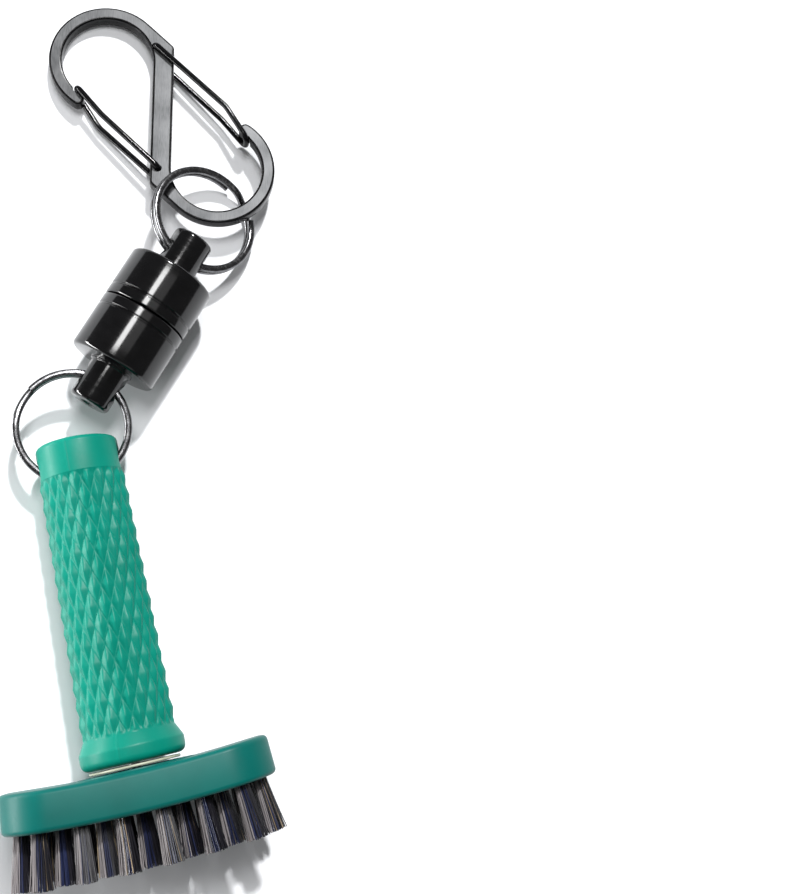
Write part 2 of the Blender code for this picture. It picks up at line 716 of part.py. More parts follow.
def gate_path():
    """The right gate's wire: in at the outer pivot, over the plate, round the nose and back under it."""
    up = Vector((0.0, 0.0, GATE_LEG_Z))
    hook = hook_place()
    corners = [
        OUTER_PIVOT + Vector((0.0, 0.0, 0.4 * MM)),
        OUTER_PIVOT + up,
        Vector((13.3 * MM, 2.1 * MM, GATE_LEG_Z)),
        hook + up,
        hook - up,
        Vector((12.5 * MM, 1.2 * MM, -GATE_LEG_Z)),
        INNER_PIVOT - up,
        INNER_PIVOT - Vector((0.0, 0.0, 0.4 * MM)),
    ]
    radii = (0.9 * MM, 6.0 * MM, 1.5 * MM, 1.5 * MM, 6.0 * MM, 0.9 * MM)
    return rounded_path(corners, radii)


def make_gate(name, material, parent, pivot, side):
    """side is +1 for the right gate; the left one is the same wire turned over and end for end."""
    path = [point * side - pivot for point in gate_path()]
    section = [
        (GATE_WIRE_RADIUS * math.cos(math.pi / 4.0 * i), GATE_WIRE_RADIUS * math.sin(math.pi / 4.0 * i))
        for i in range(8)
    ]
    new_object(name, swept_mesh(name, path, transported_frames(path), section), material, parent, 50.0)


def slot_cutter(name, centre, start, parent):
    """A blind arc slot in the plate's underside, for the wire end that travels as its gate turns."""
    reach = start - centre
    radius = reach.length
    first = math.atan2(reach.y, reach.x)
    last = first - GATE_SWING
    half = PIVOT_HOLE_RADIUS
    points = arc(centre, radius + half, first, last, 4)
    points += arc(arc(centre, radius, last, last, 1)[0], half, last, last - math.pi, 5)[1:-1]
    points += arc(centre, radius - half, last, first, 4)
    points += arc(start, half, first - math.pi, first - 2.0 * math.pi, 5)[1:-1]
    shape = bmesh.new()
    low = [shape.verts.new((x, y, -PLATE_THICKNESS)) for x, y in points]
    high = [shape.verts.new((x, y, -0.2 * MM)) for x, y in points]
    bridge(shape, low, high)
    shape.faces.new(low)
    shape.faces.new(high)
    return new_object(name, mesh_from_bmesh(name, shape), None, parent)


def make_carabiner(materials, parent):
    frame = new_object("carabiner_frame", carabiner_mesh(), materials["gunmetal"], parent)
    hook = hook_place()
    up = (0, 0, 1)
    for label, place in (("right", hook), ("left", -hook)):
        radius = GATE_WIRE_RADIUS + TOUCH_GAP
        subtract(frame, cylinder_cutter("notch_" + label, radius, 8.0 * MM, place, up, parent))
    above = Vector((0.0, 0.0, 2.0 * MM))
    for label, place in (("right", OUTER_PIVOT + above), ("left", above - INNER_PIVOT)):
        subtract(frame, cylinder_cutter("pivot_" + label, PIVOT_HOLE_RADIUS, 4.0 * MM, place, up, parent, 16))
    subtract(frame, slot_cutter("slot_right", OUTER_PIVOT, INNER_PIVOT, parent))
    subtract(frame, slot_cutter("slot_left", -INNER_PIVOT, -OUTER_PIVOT, parent))


def main():
    clear_scene()
    materials = make_materials()

    lie_down = (-math.pi / 2.0 - BRUSH_LEAN, 0.0, BRUSH_TURN)
    rest_height = HEAD_WIDTH / 2.0 * math.cos(BRUSH_LEAN)
    brush = new_empty("brush", (*BRUSH_PLACE, rest_height), lie_down)
    make_head(materials, brush)
    make_tufts(materials["bristle"], brush)
    make_handle(materials, brush)
    make_neck_and_screw(materials, brush)

    lower_ring = new_empty("lower_ring_swing", (0.0, 0.0, RING_HOLE_Z), (LOWER_RING_SWING, 0.0, 0.0), brush)
    steel = materials["dark_steel"]
    make_split_ring("lower_split_ring", steel, lower_ring, RING_OFFSET_AT_HANDLE, LOWER_RING_JOG)

    round_ring = Vector((math.sin(COUPLER_AROUND_RING), 0.0, math.cos(COUPLER_AROUND_RING)))
    stem_at = Vector((0.0, 0.0, RING_OFFSET_AT_HANDLE)) + round_ring * RING_OFFSET_AT_STEM
    stem_turn = Matrix.Rotation(COUPLER_AROUND_RING, 3, "Y") @ Matrix.Rotation(COUPLER_SWING, 3, "X")
    coupler = new_empty("coupler_swing", stem_at, stem_turn.to_euler(), lower_ring)
    make_coupler_lower(materials, coupler)

    release = new_empty("magnet_release", (0.0, 0.0, UPPER_HOLE_Z), (0.0, 0.0, UPPER_HALF_TURN), coupler)
    make_coupler_upper(materials, release)

    upper_ring = new_empty("upper_ring_swing", (0.0, 0.0, 0.0), (UPPER_RING_SWING, 0.0, 0.0), release)
    make_split_ring("upper_split_ring", steel, upper_ring, RING_OFFSET_AT_STEM, UPPER_RING_JOG)

    swing = new_empty("carabiner_swing", (0.0, 0.0, RING_OFFSET_AT_STEM), (0.0, 0.0, 0.0), upper_ring)
    carabiner = new_empty("carabiner_middle", CARABINER_PLACE, CARABINER_TILT)
    hang_in_place(carabiner, swing)
    make_carabiner(materials, carabiner)
    for name, side, pivot in (("gate_right", 1.0, OUTER_PIVOT), ("gate_left", -1.0, -INNER_PIVOT)):
        hinge = new_empty(name + "_hinge", pivot, (0.0, 0.0, 0.0), carabiner)
        make_gate(name, materials["black_wire"], hinge, pivot, side)


main()
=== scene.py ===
"""Looks of the club groove brush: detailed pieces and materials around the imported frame. Metres."""

import json
import math
import random

import bmesh
import bpy
from mathutils import Matrix, Vector


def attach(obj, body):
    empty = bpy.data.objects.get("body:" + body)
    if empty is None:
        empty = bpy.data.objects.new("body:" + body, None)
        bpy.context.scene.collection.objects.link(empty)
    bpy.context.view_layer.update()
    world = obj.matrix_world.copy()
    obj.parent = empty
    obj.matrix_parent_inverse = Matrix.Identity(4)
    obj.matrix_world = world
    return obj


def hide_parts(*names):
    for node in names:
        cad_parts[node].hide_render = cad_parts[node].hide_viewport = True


MM = 0.001

# Brush, in its own frame: bristle face at z = 0, handle upwards.
HEAD_LENGTH = 51.7 * MM
HEAD_WIDTH = 26.0 * MM
HEAD_HEIGHT = 7.6 * MM
HEAD_CORNER_RADIUS = 8.0 * MM
HEAD_END_BOW = 1.3 * MM
HEAD_ROCKER = 1.3 * MM
HEAD_EDGE_ROUND = 1.0 * MM
PAD_RADIUS = 11.2 * MM
PAD_HEIGHT = 0.4 * MM
TUFTS_IN_ROWS = (6, 7, 6, 7, 6)
TUFT_PITCH = 7.4 * MM
TUFT_ROW_PITCH = 4.4 * MM
MIDDLE_ROW_PARTING = 1.0 * MM
TUFT_HOLE_RADIUS = 1.5 * MM
TUFT_LENGTH = 10.3 * MM
TUFT_DEPTH = 3.6 * MM
TUFT_SPLAY_PER_METRE = math.radians(7.5) / 0.0222
SCREW_HOLE_RADIUS = 1.5 * MM
COUNTERBORE_RADIUS = 2.7 * MM
COUNTERBORE_DEPTH = 3.6 * MM
SPACER_RADIUS = 8.7 * MM
SPACER_HEIGHT = 0.5 * MM
TOUCH_GAP = 0.3 * MM
HANDLE_LENGTH = 63.4 * MM
FLANGE_RADIUS = 10.0 * MM
FLANGE_HEIGHT = 5.6 * MM
GRIP_RADIUS_LOW = 8.75 * MM
GRIP_RADIUS_HIGH = 8.05 * MM
COLLAR_RADIUS = 8.0 * MM
COLLAR_LENGTH = 7.0 * MM
FLANGE_ROUND = 1.5 * MM
FLANGE_WIDEST = 3.1 * MM
BORE_RADIUS = 6.0 * MM
END_WALL = 2.0 * MM
RING_HOLE_RADIUS = 2.5 * MM
RING_HOLE_BELOW_END = 5.1 * MM
HANDLE_BASE = HEAD_HEIGHT + PAD_HEIGHT + SPACER_HEIGHT + 2.0 * TOUCH_GAP
HANDLE_TOP = HANDLE_BASE + HANDLE_LENGTH
BRUSH_LEAN = math.atan((HEAD_WIDTH / 2.0 - COLLAR_RADIUS) / HANDLE_TOP)

# Knurl of elongated diamonds.
KNURL_STARTS = 20
KNURL_LENGTH = 7.1 * MM
KNURL_RELIEF = 0.74 * MM
KNURL_FADE = 0.7 * MM
KNURL_ROW = 0.3 * MM
HANDLE_SEGMENTS = 360
SEAM_ANGLES = (math.radians(-104.0), math.radians(76.0))
SEAM_HEIGHT = 0.06 * MM

# Bristle strands.
STRANDS_PER_TUFT = 88
STRAND_RADIUS = 0.08 * MM
STRAND_ROOT_SPREAD = 1.36 * MM
STRAND_TIP_SPREAD = 2.15 * MM
STRAND_SIDES = 5
STRAND_TIP_JITTER = 0.18 * MM
STRAND_BOW = 0.15 * MM
GOLDEN_ANGLE = math.radians(137.508)

# Split rings.
RING_MEAN_RADIUS = 10.9 * MM
RING_WIRE_WIDTH = 1.5 * MM
RING_WIRE_HEIGHT = 1.3 * MM
RING_LAYER_OFFSET = 0.7 * MM
RING_JOG = math.radians(36.0)
RING_END_CLEARANCE = math.radians(5.0)
RING_OFFSET_AT_HANDLE = 8.25 * MM
LOWER_RING_JOG = math.radians(150.0)
UPPER_RING_JOG = math.radians(60.0)

# Coupler, from the lower stem's hole.
STEM_RADIUS = 4.2 * MM
STEM_LENGTH = 8.7 * MM
STEM_HOLE_RADIUS = 2.1 * MM
STEM_HOLE_HEIGHT = 3.9 * MM
COUPLER_RADIUS = 9.1 * MM
COUPLER_LENGTH = 23.2 * MM
UPPER_HALF_LENGTH = 11.0 * MM
GROOVE_FROM_TOP = (8.6 * MM, 13.45 * MM)
SOCKET_RADIUS = 7.6 * MM
SPIGOT_RADIUS = 7.2 * MM
SPIGOT_HEIGHT = 1.2 * MM
SPIGOT_BORE = 5.9 * MM
CAVITY_DEPTH = 8.4 * MM
UPPER_SHOULDER = STEM_HOLE_HEIGHT + COUPLER_LENGTH
JOINT_Z = UPPER_SHOULDER - UPPER_HALF_LENGTH
UPPER_HOLE_Z = UPPER_SHOULDER + STEM_HOLE_HEIGHT

# Carabiner.
PLATE_THICKNESS = 3.0 * MM
LOOP_INNER_RADIUS = 9.5 * MM
LOOP_OUTER_RADIUS = 12.2 * MM
BAR_HALF_WIDTH = 2.15 * MM
LOOP_RISE = 11.65 * MM
LOBE_RADIUS = 1.25 * MM
SHOULDER_ANGLE = math.radians(48.0)
NOSE_ANGLE = math.radians(237.0)
HOOK_ANGLE = math.radians(228.0)
PLATE_EDGE = 0.48 * MM
GATE_WIRE_RADIUS = 0.62 * MM
GATE_LEG_Z = PLATE_THICKNESS / 2.0 + 0.15 * MM + GATE_WIRE_RADIUS
PIVOT_HOLE_RADIUS = 0.8 * MM
OUTER_PIVOT = Vector((-1.75 * MM, 15.5 * MM, 0.0))
INNER_PIVOT = Vector((0.5 * MM, 12.3 * MM, 0.0))
GATE_SWING = math.radians(20.0)
LOOP_CENTRE = Vector((-BAR_HALF_WIDTH - LOOP_INNER_RADIUS, LOOP_RISE, 0.0))

# Camera: above the brush, aimed past the chain's right side.
CAMERA_PLACE = Vector((-0.000131, -0.045583, 0.280))
CAMERA_AIM = Vector((0.05236, -0.002587, 0.0))
CAMERA_LENS = 60.5

# Floor and lights.
FLOOR_SIZE = 12.0
FLOOR_COLOUR = (0.79, 0.80, 0.82, 1.0)
TO_SUN = Vector((0.12, 0.60, 0.79))
SUN_STRENGTH = 4.3
SUN_ANGLE = math.radians(4.0)
SKY_STRENGTH = 0.13
COUPLER_AXIS = (0.5, 0.866, 0.0)
COUPLER_MIDDLE = (-0.003, 0.022, 0.0)


# --- mesh helpers --------------------------------------------------------------------------------


def frame_matrix(origin, x_axis, z_axis):
    """A body's own frame, from its origin and two of its directions in the world."""
    z = Vector(z_axis).normalized()
    x = Vector(x_axis)
    x = (x - z * z.dot(x)).normalized()
    matrix = Matrix((x, z.cross(x), z)).transposed().to_4x4()
    matrix.translation = Vector(origin)
    return matrix


def finish_mesh(name, shape, smooth_angle=35.0):
    bmesh.ops.recalc_face_normals(shape, faces=shape.faces)
    mesh = bpy.data.meshes.new(name)
    shape.to_mesh(mesh)
    shape.free()
    mesh.shade_smooth()
    mesh.set_sharp_from_angle(angle=math.radians(smooth_angle))
    return mesh


def add_object(name, mesh, matrix, materials=()):
    piece = bpy.data.objects.new(name, mesh)
    bpy.context.scene.collection.objects.link(piece)
    for material in materials:
        mesh.materials.append(material)
    piece.matrix_world = matrix
    return piece


def place(piece, body, slot, *nodes):
    """Let a piece ride on a body and stand for CAD nodes; the slot is not used."""
    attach(piece, body)
    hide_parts(*nodes)


def bridge(shape, ring_a, ring_b, material=0):
    count = len(ring_a)
    for i in range(count):
        j = (i + 1) % count
        shape.faces.new((ring_a[i], ring_a[j], ring_b[j], ring_b[i])).material_index = material


def arc(centre, radius, start, end, steps):
    points = []
    for i in range(steps + 1):
        angle = start + (end - start) * i / steps
        points.append((centre[0] + radius * math.cos(angle), centre[1] + radius * math.sin(angle)))
    return points


def rounded_path(corners, radii, steps=6):
    """A path through corner points, with each inner corner replaced by an arc of its radius."""
    path = [corners[0]]
    for before, corner, after, radius in zip(corners, corners[1:], corners[2:], radii):
        back = before - corner
        on = after - corner
        half_angle = back.angle(on) / 2.0
        if radius <= 0.0 or half_angle > 1.56:
            path.append(corner)
            continue
        radius = min(radius, 0.49 * min(back.length, on.length) * math.tan(half_angle))
        back.normalize()
        on.normalize()
        setback = radius / math.tan(half_angle)
        centre = corner + (back + on).normalized() * (radius / math.sin(half_angle))
        first = corner + back * setback - centre
        last = corner + on * setback - centre
        sweep = first.angle(last)
        for i in range(steps + 1):
            share = i / steps
            blend = first * math.sin((1.0 - share) * sweep) + last * math.sin(share * sweep)
            path.append(centre + blend / math.sin(sweep))
    path.append(corners[-1])
    return path


def filleted(corners, steps=5):
    """A turned profile from (radius, height, fillet) corners."""
    points = [Vector(corner[:2]) for corner in corners]
    return rounded_path(points, [corner[2] for corner in corners[1:-1]], steps)


def skin(shape, rings):
    """Join each ring to the next and the last to the first; a ring of one vertex is a pole."""
    for ring_a, ring_b in zip(rings, rings[1:] + rings[:1]):
        if len(ring_a) > 1 and len(ring_b) > 1:
            bridge(shape, ring_a, ring_b)
        elif len(ring_a) > 1 or len(ring_b) > 1:
            pole, ring = (ring_a[0], ring_b) if len(ring_a) == 1 else (ring_b[0], ring_a)
            for i in range(len(ring)):
                shape.faces.new((pole, ring[i], ring[(i + 1) % len(ring)]))


def turned_mesh(name, profile, segments=128, smooth_angle=30.0):
    """Turn a profile of (radius, height) points about Z; a radius of zero makes a pole."""
    shape = bmesh.new()
    rings = []
    for radius, height in profile:
        if radius <= 0.0:
            rings.append([shape.verts.new((0.0, 0.0, height))])
            continue
        angles = [2.0 * math.pi * i / segments for i in range(segments)]
        points = [(radius * math.cos(angle), radius * math.sin(angle), height) for angle in angles]
        rings.append([shape.verts.new(point) for point in points])
    skin(shape, rings)
    return finish_mesh(name, shape, smooth_angle)


def transported_frames(path):
    """Cross directions along a path, turned no more than the path turns."""
    frames = []
    across = None
    for i in range(len(path)):
        ahead = path[min(i + 1, len(path) - 1)] - path[max(i - 1, 0)]
        ahead.normalize()
        if across is None:
            across = ahead.orthogonal().normalized()
        across = (across - ahead * across.dot(ahead)).normalized()
        frames.append((across, ahead.cross(across)))
    return frames


def sweep(shape, points, frames, section, material=0):
    """Add a closed section swept along a path."""
    rings = []
    for point, (across, up) in zip(points, frames):
        rings.append([shape.verts.new(point + (across * x + up * y)) for x, y in section])
    for ring_a, ring_b in zip(rings, rings[1:]):
        bridge(shape, ring_a, ring_b, material)
    shape.faces.new(rings[0]).material_index = material
    shape.faces.new(rings[-1]).material_index = material


def round_section(radius, sides):
    return [
        (radius * math.cos(2.0 * math.pi * i / sides), radius * math.sin(2.0 * math.pi * i / sides))
        for i in range(sides)
    ]


def cylinder_shape(shape, radius, length, middle, direction, segments=48):
    """Add a capped cylinder to a cutter."""
    turn = Vector(direction).to_track_quat("Z", "Y").to_matrix().to_4x4()
    bmesh.ops.create_cone(
        shape,
        cap_ends=True,
        segments=segments,
        radius1=radius,
        radius2=radius,
        depth=length,
        matrix=Matrix.Translation(middle) @ turn,
    )


def boolean(piece, shape, operation="DIFFERENCE"):
    """Cut a shape out of a piece, or join it on, and keep only the result."""
    cutter = add_object("cutter", finish_mesh("cutter", shape), piece.matrix_world)
    step = piece.modifiers.new("boolean", "BOOLEAN")
    step.operation = operation
    step.solver = "EXACT"
    step.object = cutter
    bpy.context.view_layer.update()
    evaluated = piece.evaluated_get(bpy.context.evaluated_depsgraph_get())
    result = bpy.data.meshes.new_from_object(evaluated)
    piece.modifiers.clear()
    piece.data = result
    bpy.data.objects.remove(cutter)


# --- materials -----------------------------------------------------------------------------------


def plain_material(name, roughness, metallic=0.0, ior=1.5):
    material = bpy.data.materials.new(name)
    material.use_nodes = True
    shader = material.node_tree.nodes["Principled BSDF"]
    shader.inputs["Roughness"].default_value = roughness
    shader.inputs["Metallic"].default_value = metallic
    shader.inputs["IOR"].default_value = ior
    return material, material.node_tree, shader


def noise_of(tree, scale, stretch=(1.0, 1.0, 1.0), detail=3.0):
    """Noise in the piece's own coordinates; scale is in features per metre."""
    nodes = tree.nodes
    place_of = nodes.new("ShaderNodeTexCoord")
    mapping = nodes.new("ShaderNodeMapping")
    mapping.inputs["Scale"].default_value = stretch
    noise = nodes.new("ShaderNodeTexNoise")
    noise.inputs["Scale"].default_value = scale
    noise.inputs["Detail"].default_value = detail
    tree.links.new(place_of.outputs["Object"], mapping.inputs["Vector"])
    tree.links.new(mapping.outputs["Vector"], noise.inputs["Vector"])
    return noise.outputs["Fac"]


def colour_between(tree, factor, dark, light, low=0.3, high=0.7):
    ramp = tree.nodes.new("ShaderNodeValToRGB")
    ramp.color_ramp.elements[0].position = low
    ramp.color_ramp.elements[0].color = (*dark, 1.0)
    ramp.color_ramp.elements[1].position = high
    ramp.color_ramp.elements[1].color = (*light, 1.0)
    tree.links.new(factor, ramp.inputs["Fac"])
    return ramp.outputs["Color"]


def spread(tree, factor, low, high):
    """Map a 0 to 1 factor to a range, for roughness."""
    node = tree.nodes.new("ShaderNodeMapRange")
    node.inputs["From Min"].default_value = 0.3
    node.inputs["From Max"].default_value = 0.7
    node.inputs["To Min"].default_value = low
    node.inputs["To Max"].default_value = high
    tree.links.new(factor, node.inputs["Value"])
    return node.outputs["Result"]


def bump_from(tree, shader, height, distance, strength=1.0):
    bump = tree.nodes.new("ShaderNodeBump")
    bump.inputs["Distance"].default_value = distance
    bump.inputs["Strength"].default_value = strength
    tree.links.new(height, bump.inputs["Height"])
    tree.links.new(bump.outputs["Normal"], shader.inputs["Normal"])


def teal_plastic(name, dark, light):
    material, tree, shader = plain_material(name, 0.42, ior=1.5)
    shader.inputs["Specular IOR Level"].default_value = 0.15
    cloud = noise_of(tree, 90.0)
    colour = colour_between(tree, cloud, dark, light)
    tree.links.new(colour, shader.inputs["Base Color"])
    grain = noise_of(tree, 1800.0, detail=4.0)
    tree.links.new(spread(tree, grain, 0.38, 0.46), shader.inputs["Roughness"])
    bump_from(tree, shader, grain, 0.002 * MM)
    return material


def spacer_plastic():
    material, tree, shader = plain_material("spacer_plastic", 0.4)
    cloud = noise_of(tree, 300.0)
    # The pale cream is a painted highlight: it stands in for the light caught in the gap between the flange
    # and the head.
    colour = colour_between(tree, cloud, (0.26, 0.28, 0.21), (0.38, 0.39, 0.30))
    tree.links.new(colour, shader.inputs["Base Color"])
    return material


def strand_material(name, dark, light, roughness):
    material, tree, shader = plain_material(name, roughness, ior=1.5)
    along = noise_of(tree, 500.0, stretch=(1.0, 1.0, 0.12))
    tree.links.new(colour_between(tree, along, dark, light), shader.inputs["Base Color"])
    grain = noise_of(tree, 4000.0)
    bump_from(tree, shader, grain, 0.006 * MM)
    return material


def strand_materials():
    return [
        strand_material("strand_black", (0.004, 0.004, 0.006), (0.012, 0.011, 0.016), 0.35),
        # Grey strands are placed on one side of each tuft: a painted highlight.
        strand_material("strand_grey_painted_highlight", (0.12, 0.11, 0.112), (0.24, 0.22, 0.225), 0.4),
        strand_material("strand_navy", (0.006, 0.009, 0.03), (0.014, 0.02, 0.06), 0.35),
        strand_material("strand_tan", (0.18, 0.13, 0.075), (0.34, 0.26, 0.16), 0.4),
    ]


def black_anodised():
    material, tree, shader = plain_material("black_anodised", 0.12, ior=1.5)
    cloud = noise_of(tree, 400.0)
    colour = colour_between(tree, cloud, (0.0012, 0.0012, 0.0014), (0.0025, 0.0025, 0.0028))
    tree.links.new(colour, shader.inputs["Base Color"])
    turning = noise_of(tree, 900.0, stretch=(0.15, 0.15, 6.0), detail=2.0)
    tree.links.new(spread(tree, turning, 0.09, 0.16), shader.inputs["Roughness"])
    bump_from(tree, shader, turning, 0.0015 * MM)
    return material


def dark_steel():
    material, tree, shader = plain_material("dark_steel", 0.22, metallic=1.0)
    cloud = noise_of(tree, 700.0)
    colour = colour_between(tree, cloud, (0.10, 0.10, 0.105), (0.2, 0.2, 0.205))
    tree.links.new(colour, shader.inputs["Base Color"])
    rubbed = noise_of(tree, 1500.0, stretch=(1.0, 3.0, 1.0))
    tree.links.new(spread(tree, rubbed, 0.17, 0.32), shader.inputs["Roughness"])
    bump_from(tree, shader, rubbed, 0.004 * MM)
    return material


def brushed_face():
    material, tree, shader = plain_material("brushed_gunmetal", 0.4, metallic=1.0)
    lines = noise_of(tree, 900.0, stretch=(8.0, 0.7, 1.0), detail=5.0)
    cloud = noise_of(tree, 160.0)
    mixed = tree.nodes.new("ShaderNodeMix")
    mixed.inputs["Factor"].default_value = 0.5
    tree.links.new(lines, mixed.inputs["A"])
    tree.links.new(cloud, mixed.inputs["B"])
    factor = mixed.outputs["Result"]
    colour = colour_between(tree, factor, (0.03, 0.031, 0.032), (0.07, 0.071, 0.073), 0.36, 0.62)
    tree.links.new(colour, shader.inputs["Base Color"])
    tree.links.new(spread(tree, lines, 0.34, 0.5), shader.inputs["Roughness"])
    bump_from(tree, shader, lines, 0.01 * MM)
    return material


def black_polished(name, roughness):
    material, tree, shader = plain_material(name, roughness, ior=1.45)
    shader.inputs["Specular IOR Level"].default_value = 0.16
    cloud = noise_of(tree, 500.0)
    colour = colour_between(tree, cloud, (0.0015, 0.0015, 0.0018), (0.004, 0.004, 0.0045))
    tree.links.new(colour, shader.inputs["Base Color"])
    drawn = noise_of(tree, 1400.0, detail=2.0)
    tree.links.new(spread(tree, drawn, roughness * 0.8, roughness * 1.4), shader.inputs["Roughness"])
    bump_from(tree, shader, drawn, 0.003 * MM)
    return material


def plated(name, dark, light, roughness):
    material, tree, shader = plain_material(name, roughness, metallic=1.0)
    cloud = noise_of(tree, 600.0)
    tree.links.new(colour_between(tree, cloud, dark, light), shader.inputs["Base Color"])
    grain = noise_of(tree, 2500.0)
    tree.links.new(spread(tree, grain, roughness, roughness * 1.5), shader.inputs["Roughness"])
    bump_from(tree, shader, grain, 0.004 * MM)
    return material


# --- brush ---------------------------------------------------------------------------------------


def head_sag(x):
    return HEAD_ROCKER * (2.0 * x / HEAD_LENGTH) ** 2


def head_outline(height, inset, arc_steps=16, side_steps=20):
    """The head's outline at a height above the bristle face, drawn in by an inset."""
    draft = math.tan(BRUSH_LEAN)
    half_length = HEAD_LENGTH / 2.0 - HEAD_END_BOW - height * draft - inset
    half_width = HEAD_WIDTH / 2.0 - height * draft - inset
    radius = HEAD_CORNER_RADIUS - inset
    side = half_length - radius
    quarter = math.pi / 2.0
    plan = []
    for turn, (sx, sy) in enumerate(((1, 1), (-1, 1), (-1, -1), (1, -1))):
        centre = (sx * side, sy * (half_width - radius))
        plan += arc(centre, radius, turn * quarter, (turn + 1) * quarter, arc_steps)
        if turn % 2 == 0:
            shares = [1.0 - 2.0 * i / side_steps for i in range(1, side_steps)]
            plan += [(sx * side * share, sy * half_width) for share in shares]
    points = []
    for x, y in plan:
        reach = max(0.0, abs(x) - side) / radius
        x += math.copysign(HEAD_END_BOW * reach * (1.0 - (y / half_width) ** 2), x)
        lift = head_sag(x)
        points.append((x, y * (1.0 - lift * draft / half_width), height + lift))
    return points


def tuft_places():
    """Each tuft's root on the bristle face and the direction its bristles point."""
    places = []
    middle = (len(TUFTS_IN_ROWS) - 1) / 2.0
    for row, count in enumerate(TUFTS_IN_ROWS):
        y = (row - middle) * TUFT_ROW_PITCH
        for column in range(count):
            x = (column - (count - 1) / 2.0) * TUFT_PITCH
            if row == middle:
                x += math.copysign(MIDDLE_ROW_PARTING, x)
            lean = Vector((math.tan(x * TUFT_SPLAY_PER_METRE), math.tan(y * TUFT_SPLAY_PER_METRE), -1.0))
            places.append((Vector((x, y, head_sag(x))), lean.normalized()))
    return places


def make_head(matrix, teal):
    edge = HEAD_EDGE_ROUND
    levels = []
    for i in range(7):
        angle = math.pi / 12.0 * i
        levels.append((edge * (1.0 - math.cos(angle)), edge * (1.0 - math.sin(angle))))
    levels += [(HEAD_HEIGHT - low, inset) for low, inset in reversed(levels)]
    shape = bmesh.new()
    rings = [[shape.verts.new(point) for point in head_outline(*level)] for level in levels]
    for ring_a, ring_b in zip(rings, rings[1:]):
        bridge(shape, ring_a, ring_b)
    for ring in (rings[0], rings[-1]):
        for i in range(len(ring) // 2 - 1):
            shape.faces.new((ring[i], ring[i + 1], ring[-(i + 2)], ring[-(i + 1)]))
    head = add_object("brush_head", finish_mesh("brush_head", shape), matrix, [teal])

    pad = bmesh.new()
    pad_at = (0.0, 0.0, HEAD_HEIGHT + PAD_HEIGHT - 1.5 * MM)
    cylinder_shape(pad, PAD_RADIUS, 3.0 * MM, pad_at, (0, 0, 1), 128)
    boolean(head, pad, "UNION")
    holes = bmesh.new()
    for root, direction in tuft_places():
        middle = root - direction * (TUFT_DEPTH / 2.0 - 1.0 * MM)
        cylinder_shape(holes, TUFT_HOLE_RADIUS, TUFT_DEPTH + 2.0 * MM, middle, direction, 24)
    boolean(head, holes)
    bore = bmesh.new()
    cylinder_shape(bore, SCREW_HOLE_RADIUS, 30.0 * MM, (0.0, 0.0, 5.0 * MM), (0, 0, 1), 32)
    boolean(head, bore)
    counterbore = bmesh.new()
    counterbore_at = (0.0, 0.0, COUNTERBORE_DEPTH - 5.0 * MM)
    cylinder_shape(counterbore, COUNTERBORE_RADIUS, 10.0 * MM, counterbore_at, (0, 0, 1), 48)
    boolean(head, counterbore)
    place(head, "brush", "teal_plastic", "head_block")


def strand_colour_painted_light(sideways, draw):
    """A strand's material from its place across the tuft, -1 to 1, and a random draw, 0 to 1. The strands
    grade from grey on one side through navy to black on the other: painted highlight on the grey side and
    painted shade on the black side.
    """
    black, grey, navy, tan = range(4)
    if (sideways < -0.4 and draw < 0.85) or (sideways < -0.2 and draw < 0.2):
        return grey
    if sideways < 0.3 and draw < 0.65:
        return navy
    return tan if draw > 0.975 else black


def make_bristles(matrix, materials):
    """Every tuft is a bundle of fine strands that fans out from its hole; grey ones gather on one side as a
    painted highlight, and black ones on the other side as painted shade.
    """
    rng = random.Random(11)
    section = round_section(STRAND_RADIUS, STRAND_SIDES)
    for index, (root, direction) in enumerate(tuft_places(), start=1):
        turn = direction.to_track_quat("Z", "Y").to_matrix()
        side = Vector((1.0, 0.0, 0.0))
        side = (side - direction * side.dot(direction)).normalized()
        other = direction.cross(side)
        shape = bmesh.new()
        for number in range(STRANDS_PER_TUFT):
            share = math.sqrt((number + 0.5) / STRANDS_PER_TUFT)
            angle = number * GOLDEN_ANGLE + rng.uniform(-0.2, 0.2)
            flat = Vector((math.cos(angle), math.sin(angle)))
            start = flat * share * STRAND_ROOT_SPREAD
            end = flat * share * STRAND_TIP_SPREAD * rng.uniform(0.92, 1.06)
            end += Vector((rng.uniform(-1.0, 1.0), rng.uniform(-1.0, 1.0))) * STRAND_TIP_JITTER
            length = TUFT_LENGTH + rng.uniform(-0.2, 0.1) * MM - share * 0.15 * MM
            bow = Vector((rng.uniform(-1.0, 1.0), rng.uniform(-1.0, 1.0))) * STRAND_BOW
            points = []
            for step in range(5):
                t = step / 4.0
                height = -(TUFT_DEPTH - TOUCH_GAP) * 0.6 * (1.0 - t) + length * t
                spread_now = start.lerp(end, max(0.0, height / length) ** 1.15)
                spread_now = spread_now + bow * math.sin(math.pi * max(0.0, height / length))
                points.append(root + direction * height + side * spread_now.x + other * spread_now.y)
            frames = [(turn.col[0], turn.col[1])] * 5
            draw = rng.random()
            material = strand_colour_painted_light(flat.x * share, draw)
            sweep(shape, points, frames, section, material)
        name = f"bristles_{index:02d}"
        tuft = add_object(name, finish_mesh(name, shape, 60.0), matrix, materials)
        place(tuft, "brush", "bristle", f"bristle_tuft_{index:02d}")


def knurl_height(angle, height):
    """0 in the grooves and 1 on top of a diamond; two families of helical grooves cross."""
    around = KNURL_STARTS * angle / (2.0 * math.pi)
    along = height / KNURL_LENGTH
    first = 1.0 - abs(2.0 * ((around + along) % 1.0) - 1.0)
    second = 1.0 - abs(2.0 * ((around - along) % 1.0) - 1.0)
    return 0.45 * min(first, second) + 0.55 * math.sqrt(first * second)


